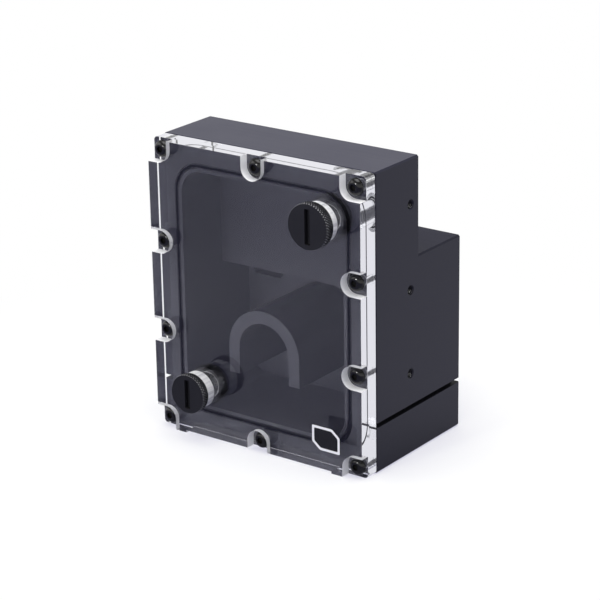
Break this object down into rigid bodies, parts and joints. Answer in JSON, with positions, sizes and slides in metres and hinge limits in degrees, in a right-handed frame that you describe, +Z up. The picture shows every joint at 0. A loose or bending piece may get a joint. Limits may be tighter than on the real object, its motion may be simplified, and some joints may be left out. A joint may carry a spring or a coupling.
{
  "type": "coolant pump reservoir",
  "caption": "Coolant reservoir with a machined stepped housing, a clear bolted front cover, knurled fill and drain plugs, threaded ledge ports and a rear centrifugal pump.",
  "frame": {"origin": "middle of the housing's bottom face, which the reservoir stands on", "axes": "+X to the right seen from the clear cover, +Y to the rear where the pump is, +Z up"},
  "size_m": [0.125, 0.1291, 0.15],
  "materials": {
    "black_anodised": "satin black anodised",
    "clear_acrylic": "clear polished acrylic",
    "seal_rubber": "matt",
    "black_screw": "blackened",
    "nickel": "bright nickel",
    "black_plug": "black plated, satin",
    "stainless_steel": "satin",
    "ceramic": "polished ceramic",
    "magnet": "matt ferrite",
    "impeller_plastic": "moulded",
    "stator_steel": "stacked sheets",
    "copper": "enamelled wire",
    "board": "solder mask",
    "pump_plastic": "moulded"
  },
  "bodies": {
    "body": {"housing": "black_anodised", "front_cover": "clear_acrylic", "cover_seal": "seal_rubber", "cover_screws": "black_screw", "fill_port_collar": "nickel", "fill_collar_seal": "seal_rubber", "drain_port_collar": "nickel", "drain_collar_seal": "seal_rubber", "pump_seal": "seal_rubber", "separator_cup": "stainless_steel", "bearing_post": "stainless_steel", "bearing_ball": "ceramic", "stator": "stator_steel", "stator_windings": "copper", "circuit_board": "board", "motor_can": "pump_plastic", "motor_end_cap": "pump_plastic", "end_cap_screws": "stainless_steel", "cable_gland": "seal_rubber", "pump_clamp_ring": "black_anodised", "pump_clamp_screws": "black_screw"},
    "fill_plug_ring": {"fill_plug_seal": "seal_rubber"},
    "fill_plug": {"fill_plug": "black_plug"},
    "drain_plug_ring": {"drain_plug_seal": "seal_rubber"},
    "drain_plug": {"drain_plug": "black_plug"},
    "impeller": {"impeller": "impeller_plastic", "rotor_magnet": "magnet"}
  },
  "joints": [
    {"name": "fill_plug_back_out", "type": "slide", "parent": "body", "child": "fill_plug_ring", "axis": [0, -1, 0], "range_m": [0, 0.00545]},
    {"name": "fill_plug_unscrew", "type": "hinge", "parent": "fill_plug_ring", "child": "fill_plug", "pos_m": [0.04, -0.0365, 0.126], "axis": [0, -1, 0], "range_deg": [0, 2160]},
    {"name": "drain_plug_back_out", "type": "slide", "parent": "body", "child": "drain_plug_ring", "axis": [0, -1, 0], "range_m": [0, 0.00545]},
    {"name": "drain_plug_unscrew", "type": "hinge", "parent": "drain_plug_ring", "child": "drain_plug", "pos_m": [-0.035, -0.0365, 0.026], "axis": [0, -1, 0], "range_deg": [0, 2160]},
    {"name": "impeller_spin", "type": "hinge", "parent": "body", "child": "impeller", "pos_m": [0, 0.029, 0.05], "axis": [0, -1, 0], "continuous": true}
  ],
  "couplings": [
    {"joint": "fill_plug_back_out", "follows": "fill_plug_unscrew", "m_per_rad": 0.00014435},
    {"joint": "drain_plug_back_out", "follows": "drain_plug_unscrew", "m_per_rad": 0.00014435}
  ]
}
